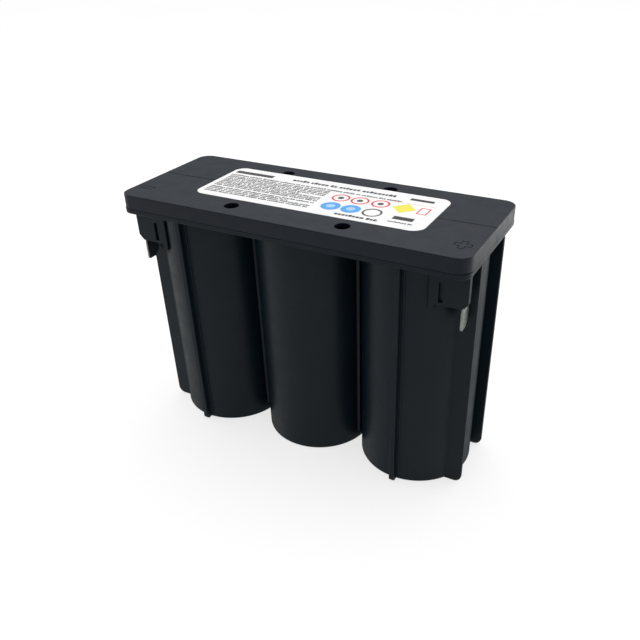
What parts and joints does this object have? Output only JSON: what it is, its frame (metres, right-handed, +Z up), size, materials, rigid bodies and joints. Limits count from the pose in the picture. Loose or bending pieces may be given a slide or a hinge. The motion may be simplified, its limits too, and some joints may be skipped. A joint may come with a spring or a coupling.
{
  "type": "sealed lead-acid battery",
  "caption": "Small sealed lead-acid monobloc battery: round cell wells in a ribbed black jar, flat cover, push-on blade at each end.",
  "frame": {"origin": "centre of the base, on the underside of the middle well", "axes": "+X along the row of cells, from the negative to the positive terminal; terminals on the -Y side; +Z up"},
  "size_m": [0.1392, 0.0542, 0.1016],
  "materials": {
    "jar_plastic": "satin moulded black",
    "cover_plastic": "fine-grained moulded black",
    "label_film": "printed white film",
    "tin_plate": "tin-plated brass",
    "lead": "cast lead",
    "positive_paste": "brown lead dioxide paste",
    "negative_paste": "grey sponge lead",
    "glass_mat": "absorbent glass mat",
    "rubber": "matte black rubber"
  },
  "bodies": {
    "root": {"jar": "jar_plastic", "cell_cover": "jar_plastic", "link_cell_1_to_2": "lead", "link_cell_2_to_3": "lead", "positive_terminal": "tin_plate", "negative_terminal": "tin_plate", "cell_1_positive_plate": "positive_paste", "cell_1_negative_plate": "negative_paste", "cell_1_inner_separator": "glass_mat", "cell_1_outer_separator": "glass_mat", "cell_1_positive_strap": "lead", "cell_1_negative_strap": "lead", "cell_1_positive_post_seal": "rubber", "cell_1_negative_post_seal": "rubber", "cell_2_positive_plate": "positive_paste", "cell_2_negative_plate": "negative_paste", "cell_2_inner_separator": "glass_mat", "cell_2_outer_separator": "glass_mat", "cell_2_positive_strap": "lead", "cell_2_negative_strap": "lead", "cell_2_positive_post_seal": "rubber", "cell_2_negative_post_seal": "rubber", "cell_3_positive_plate": "positive_paste", "cell_3_negative_plate": "negative_paste", "cell_3_inner_separator": "glass_mat", "cell_3_outer_separator": "glass_mat", "cell_3_positive_strap": "lead", "cell_3_negative_strap": "lead", "cell_3_positive_post_seal": "rubber", "cell_3_negative_post_seal": "rubber"},
    "cover": {"top_cover": "cover_plastic", "label": "label_film"},
    "valve_1": {"cell_1_relief_valve": "rubber"},
    "valve_2": {"cell_2_relief_valve": "rubber"},
    "valve_3": {"cell_3_relief_valve": "rubber"}
  },
  "joints": [
    {"name": "cover_lift", "type": "slide", "parent": "root", "child": "cover", "axis": [0, 0, 1], "range_m": [0, 0.04]},
    {"name": "valve_1_lift", "type": "slide", "parent": "root", "child": "valve_1", "axis": [0, 0, 1], "range_m": [0, 0.0008]},
    {"name": "valve_2_lift", "type": "slide", "parent": "root", "child": "valve_2", "axis": [0, 0, 1], "range_m": [0, 0.0008]},
    {"name": "valve_3_lift", "type": "slide", "parent": "root", "child": "valve_3", "axis": [0, 0, 1], "range_m": [0, 0.0008]}
  ]
}
